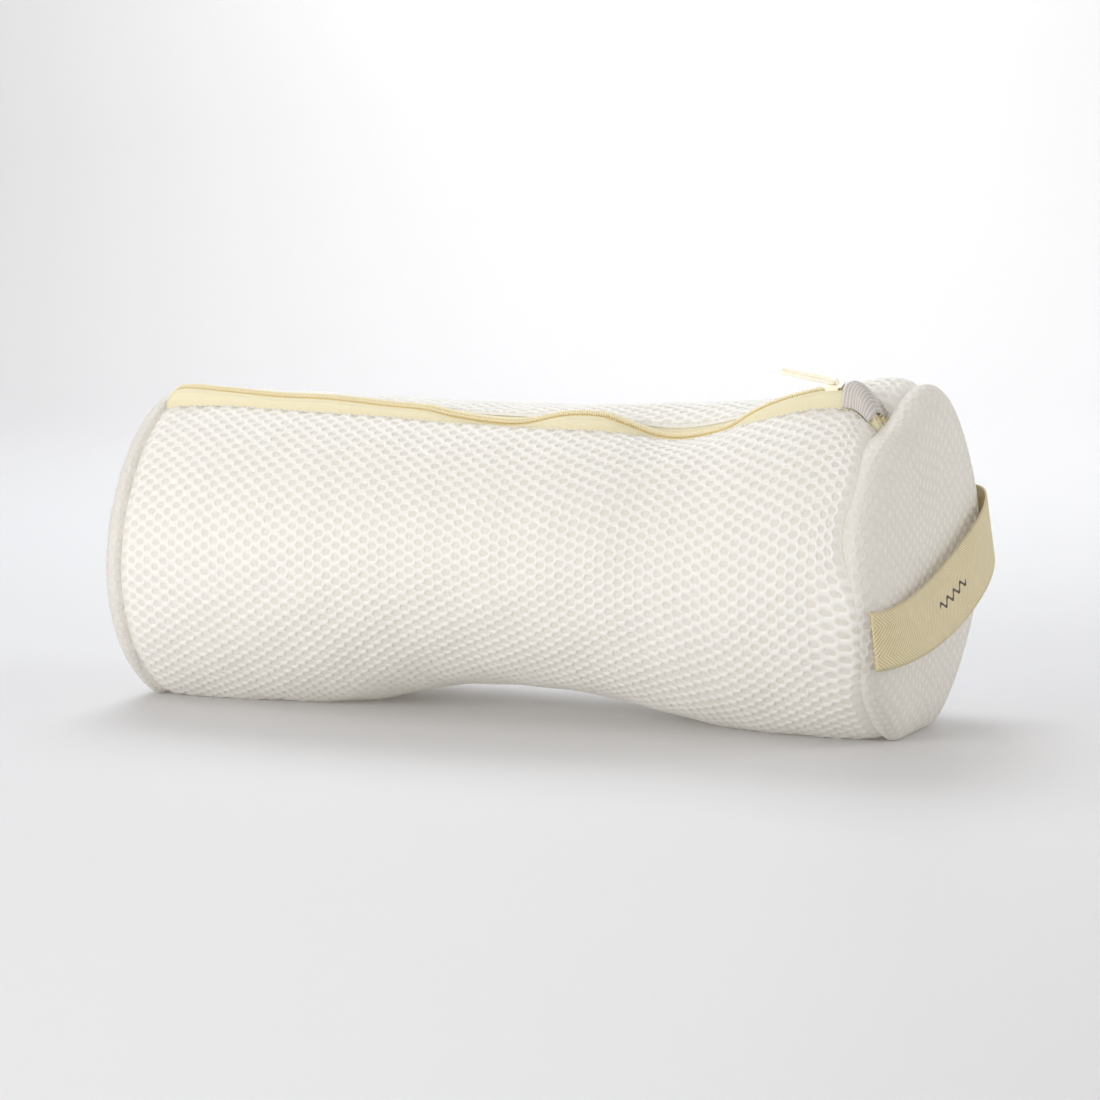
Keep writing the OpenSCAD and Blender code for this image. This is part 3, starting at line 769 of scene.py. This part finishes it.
coilCount = int((bag["handleSeam"] - bag["plainSeam"]) * bag["halfLength"] / coil["pitch"]) - 2
tapeTop = zipper["tapeThickness"] / 2
for side, name in ((1, "Near"), (-1, "Far")):
    places = [along01(0, 1) + (k + (0.5 if side < 0 else 0)) * coil["pitch"] / bag["halfLength"]
              for k in range(coilCount)]
    rowOfBeads("coil" + name, places,
               lambda s, side=side: side * (coil["reach"] / 2 - coil["lap"] + parting(s)),
               tapeTop + coil["height"] / 2, (coil["width"], coil["reach"], coil["height"]),
               side * coil["skew"], coilMaterial, ["zip_coil_" + name.lower()], 8, 6)
    # the chain of thread that holds the coil to its tape, over it and along its outer edge
    rowOfBeads("coilThread" + name, places[::2],
               lambda s, side=side: side * (coil["thread"]["from"] + parting(s)),
               tapeTop + coil["height"] + coil["thread"]["above"], coil["thread"]["size"], 0.0, coilThread)
    # the near row's edge thread is the darker gold, painted shade; the far row's is plain coil thread
    rowOfBeads("coilEdge" + name, places[::2],
               lambda s, side=side: side * (coil["reach"] + coil["edge"]["beyond"] + parting(s)),
               tapeTop + coil["edge"]["above"], coil["edge"]["size"], side * coil["edge"]["skew"],
               goldThreadNearShade if side > 0 else coilThread)
print("zip made")


def seamStitches(name, side, replaces):
    # stitches through the mesh and the tape along one edge of the zip
    bm = bmesh.new()
    edge = math.degrees(zipper["stitchInset"] / bag["radius"])
    step, length = zipper["stitchStep"], zipper["stitchLength"]

    def stitchAt(s):
        return skin(np.array(s), zipAngle(s) + side * (slotAngle + edge), rollIn(s) - 0.05)

    for k in range(int(tubeLength / step) - 1):
        s = bag["plainSeam"] + (k + 0.8) * step / bag["halfLength"]
        at = stitchAt(s)
        run = unit(stitchAt(s + 0.004) - at)
        away = outward(zipAngle(s) + side * (slotAngle + edge))
        up = unit(away - run * np.dot(run, away))
        bead(bm, at, (run, np.cross(up, run), up), (length, zipper["threadDiameter"], 0.45))
    return keep(name, bm, whiteThread, "bag", replaces)


zipStitchesNear = seamStitches("zipStitchesNear", 1, ["zip_stitches_near"])
zipStitchesFar = seamStitches("zipStitchesFar", -1, ["zip_stitches_far"])


# slider and puller, from the CAD's own shapes

def refined(name, node, body, material, bevel=0.0, enamelDepth=0.0):
    bm = bmesh.new()
    bm.from_mesh(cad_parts[node].data)
    bmesh.ops.remove_doubles(bm, verts=bm.verts, dist=1e-6)
    if bevel:
        bmesh.ops.dissolve_limit(bm, angle_limit=math.radians(4), verts=bm.verts, edges=bm.edges)
        sharp = [e for e in bm.edges if len(e.link_faces) == 2 and e.calc_face_angle() > math.radians(50)]
        bmesh.ops.bevel(bm, geom=sharp, offset=bevel * mm, offset_type="OFFSET", segments=3, profile=0.5,
                        affect="EDGES", clamp_overlap=True, material=-1)
    bm.normal_update()
    for vert in bm.verts:
        vert.co += vert.normal * enamelDepth * mm
    for edge in bm.edges:
        edge.smooth = edge.calc_face_angle(0) < math.radians(48)
    return keep(name, bm, material, body, [node])


refined("sliderBody", "slider_body", "slider", enamel, bevel=0.22)
refined("sliderCap", "slider_cap", "slider", enamel, bevel=0.16)
refined("puller", "puller", "puller", enamel, enamelDepth=0.13)
print("slider made")


# elastic keeper

keeper = {"width": 18, "thickness": 1, "gap": 0.9, "room": 0.9, "ribs": 11, "ribHeight": 0.32, "lean": 4.5,
          "footDepth": 0.9, "kneeSpread": 0.8, "stitches": 7, "stitchSize": (1.9, 0.45, 0.4)}
keeperFrom = zipper["sliderPlace"] + (zipper["sliderLength"] / 2 + keeper["gap"]) / bag["halfLength"]
keeperTo = keeperFrom + keeper["width"] / bag["halfLength"]


def keeperPlace(u, v):
    # tucked under the mesh at both edges of the gap, and arched over the coil
    s = keeperFrom + u * (keeperTo - keeperFrom) + v * keeper["lean"] / bag["halfLength"]
    a = coilAngle(s)
    up = zipper["tapeThickness"] / 2 + zipper["seat"]
    crest = zipLine(s) + column(up - 0.3 + zipper["coilHeight"] + keeper["room"]) * outward(a)
    half = zipper["coilWidth"] / 2
    feet = [skin(s, zipAngle(s) + side * (slotAngle + 0.2), rollIn(s) + keeper["footDepth"])
            for side in (1, -1)]
    knees = [tapeLine(s, side)[1] + up * (outward(a) + keeper["kneeSpread"] * side * sideways(a))
             for side in (1, -1)]
    line = [feet[0], knees[0], crest + half * sideways(a), crest, crest - half * sideways(a), knees[1],
            feet[1]]
    rib = np.abs(np.sin(u * math.pi * keeper["ribs"])) ** 0.7 * keeper["ribHeight"]
    return through(line, v) + column(keeper["thickness"] - 0.25 + rib) * outward(a)


elasticMaterial = ribbedElastic()
strip("keeperBand", 110, 36, keeperPlace, elasticMaterial, "bag", ["keeper_band"], thick=0.9,
      flip=True)
bm = bmesh.new()
for side, v in ((1, 0.1), (-1, 0.9)):
    for k in range(keeper["stitches"]):
        u = (k + 0.5) / keeper["stitches"]
        at, ahead, over = (keeperPlace(np.array([x]), np.array([y]))[0] for x, y in
                           ((u, v), (u + 0.02, v), (u, v + 0.03)))
        run = unit(ahead - at)
        up = unit(np.cross(run, over - at))
        bead(bm, at + up * 0.1 * np.sign(up[2]), (run, np.cross(up, run), up), keeper["stitchSize"])
keep("keeperStitches", bm, whiteThread, "bag", ["keeper_stitches"])
print("keeper made")


# ribbon handle

ribbon = {
    "width": 30, "thickness": 0.9, "rise": 17, "sag": 7, "tilt": 18, "power": 3.4, "stand": 1.4, "dive": 6,
    "nearAngle": 107, "farAngle": -78, "roll": 8,
    "stitchRows": (0.055, 0.945), "stitches": 9, "stitchSize": (2.5, 0.5, 0.4),
}
nearSeam = skin(bag["handleSeam"], ribbon["nearAngle"], -ribbon["stand"], strays=False)
farSeam = skin(bag["handleSeam"], ribbon["farAngle"], -ribbon["stand"], strays=False)
chord = float(np.linalg.norm(farSeam - nearSeam))
chordRun = (farSeam - nearSeam) / chord
chordUp = np.cross([1, 0, 0], chordRun)


def archPoint(t):
    turn = np.radians(t)
    power = 2 / ribbon["power"]
    share = (1 - np.sign(np.cos(turn)) * np.abs(np.cos(turn)) ** power) / 2
    height = (ribbon["rise"] + ribbon["roll"]) * np.maximum(np.sin(turn), 0) ** power
    # it comes up out of the groove of the seam, wherever that strays to
    tuck = np.where(share < 0.5, stray(ribbon["nearAngle"]), stray(ribbon["farAngle"]))
    dive = ribbon["dive"] * (1 - ramp(0, 5, height - tuck))
    sag = ribbon["sag"] * np.sin(math.pi * share)
    line = (nearSeam + column(share * chord + dive * np.sign(0.5 - share)) * chordRun
            + column(height) * np.array([1, 0, 0]) - column(sag) * chordUp)
    return line, share


def archAcross(share):
    turn = np.radians(ribbon["tilt"] * np.sin(math.pi * share))
    start, end = -sideways(ribbon["nearAngle"]), sideways(ribbon["farAngle"])
    way = start + (chordUp - start) * column(ramp(0.02, 0.3, share))
    way = way + (end - way) * column(ramp(0.7, 0.98, share))
    return column(np.cos(turn)) * unit(way) - column(np.sin(turn)) * np.array([1, 0, 0])


# even steps along the ribbon's own length
fine = np.linspace(0.5, 179.5, 1500)
finePoints, _ = archPoint(fine)
walked = np.concatenate([[0], np.cumsum(np.linalg.norm(np.diff(finePoints, axis=0), axis=1))])
ribbonLength = float(walked[-1])


def ribbonPlace(u, v, lift=0.0):
    t = np.interp(u * ribbonLength, walked, fine)
    line, share = archPoint(t)
    run = archPoint(np.minimum(t + 0.5, 180))[0] - archPoint(np.maximum(t - 0.5, 0))[0]
    across = archAcross(share)
    face = unit(np.cross(run, across))
    cup = 0.5 * np.cos((v - 0.5) * math.pi) * np.sin(math.pi * share) - 0.5
    return line + column((v - 0.5) * ribbon["width"]) * across + column(lift + cup + 0.4) * face


ribbonMaterial = herringboneRibbon(ribbonLength)
ribbonBand = strip("ribbonHandle", 220, 20, ribbonPlace, ribbonMaterial, None,
                   ["handle_strap", "handle_near_end", "handle_far_end"], thick=ribbon["thickness"])
bm = bmesh.new()
for u in ribbon["stitchRows"]:
    for k in range(ribbon["stitches"]):
        v = (k + 0.75) / (ribbon["stitches"] + 0.5)
        at, ahead = (ribbonPlace(np.array([u]), np.array([x]), 0.1)[0] for x in (v, v + 0.02))
        after = ribbonPlace(np.array([u + 0.004]), np.array([v]), 0.1)[0]
        run = unit(ahead - at)
        up = unit(np.cross(after - at, run))
        bead(bm, at, (run, np.cross(up, run), up), ribbon["stitchSize"])
keep("handleStitches", bm, ribbonThread, "bag", ["handle_stitches"])
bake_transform(ribbonBand)
print("ribbon made:", round(ribbonLength), "mm long")


# the end panels' cloth sizes, worked out but not used

for back, net, reach in ((plainGround, plainNet, plainReach), (handleGround, handleNet, handleReach)):
    2 * reach * mm
    2 * reach * mm
    math.pi * (reach * mm) ** 2


# floor, light and camera

stage = {"floor": colour(217, 217, 219), "far": 1.6, "near": 9, "wide": 9, "tall": 2.6, "bend": 0.9,
         "sky": (1, 0.985, 0.962, 1), "skyStrength": 0.63}


def makeFloor():
    bm = bmesh.new()
    bmesh.ops.create_grid(bm, x_segments=1, y_segments=120, size=0.5)

    def sweep(p):
        # flat in front, then a long bend up behind
        run = (p[:, 1] + 0.5) * (stage["near"] + stage["far"] + stage["tall"]) - stage["near"]
        past = np.clip(run - stage["far"], 0, None)
        arc = stage["bend"] * math.pi / 2
        turn = np.clip(past / stage["bend"], 0, math.pi / 2)
        y = np.minimum(run, stage["far"]) + stage["bend"] * np.sin(turn)
        z = stage["bend"] * (1 - np.cos(turn)) + np.clip(past - arc, 0, None)
        return np.stack([p[:, 0] * 2 * stage["wide"], y, z], -1) * 1000

    shift(bm, sweep)
    floorMesh = bpy.data.meshes.new("floor")
    bm.to_mesh(floorMesh)
    bm.free()
    floor = bpy.data.objects.new("floor", floorMesh)
    bpy.context.scene.collection.objects.link(floor)
    floorMesh.polygons.foreach_set("use_smooth", [True] * len(floorMesh.polygons))
    paper = Finish("stagePaper", Base_Color=stage["floor"], Roughness=0.55)
    floorMesh.materials.append(paper.material)
    floor.rotation_euler[2] = math.radians(view["azimuth"])


view = {"azimuth": 23, "elevation": 7, "distance": 2.31, "lens": 150, "target": (-0.00712, 0, 0.085),
        "shift": (0.0073, -0.0082)}


lamps = {
    "topBox": {"watts": 10, "tint": (0.9, 0.95, 1), "at": (-0.2, 0.95, 1.25), "size": (1.0, 0.7)},
    "frontFill": {"watts": 25, "tint": (1, 0.98, 0.955), "at": (-1.55, -1.45, 0.62), "size": (1.1, 0.8)},
    "rightFill": {"watts": 11, "tint": (1, 0.985, 0.97), "at": (2.0, -0.15, 0.7), "size": (1.0, 1.0)},
    "backGlow": {"watts": 12, "tint": (1, 0.998, 0.995), "at": (0, 1.7, 1.3), "size": (0.7, 0.7),
                 "aim": (0, 2.5, 0.2)},
}


def lamp(name, watts, tint, at, size, aim=(0, 0, 0.08)):
    data = bpy.data.lights.new(name, "AREA")
    data.energy, data.color = watts, tint
    data.shape, data.size, data.size_y = "RECTANGLE", size[0], size[1]
    obj = bpy.data.objects.new(name, data)
    bpy.context.scene.collection.objects.link(obj)
    turn = math.radians(view["azimuth"])
    spot = Matrix.Rotation(turn, 3, "Z") @ Vector(at)
    obj.location = spot
    obj.rotation_euler = (Vector(aim) - spot).to_track_quat("-Z", "Y").to_euler()


makeFloor()
for name, values in lamps.items():
    lamp(name, **values)
world = bpy.data.worlds.new("studio")
world.use_nodes = True
world.node_tree.nodes["Background"].inputs["Color"].default_value = stage["sky"]
world.node_tree.nodes["Background"].inputs["Strength"].default_value = stage["skyStrength"]
bpy.context.scene.world = world
bpy.context.scene.view_settings.view_transform = "Standard"

a, e = math.radians(view["azimuth"]), math.radians(view["elevation"])
back = Vector((math.sin(a) * math.cos(e), -math.cos(a) * math.cos(e), math.sin(e)))
cameraData = bpy.data.cameras.new("camera")
cameraData.lens, cameraData.sensor_width = view["lens"], 36
cameraData.shift_x, cameraData.shift_y = view["shift"]
cameraData.clip_end = 20
camera = bpy.data.objects.new("camera", cameraData)
bpy.context.scene.collection.objects.link(camera)
camera.location = Vector(view["target"]) + back * view["distance"]
camera.rotation_euler = (-back).to_track_quat("-Z", "Y").to_euler()
bpy.context.scene.camera = camera
print("stage made")
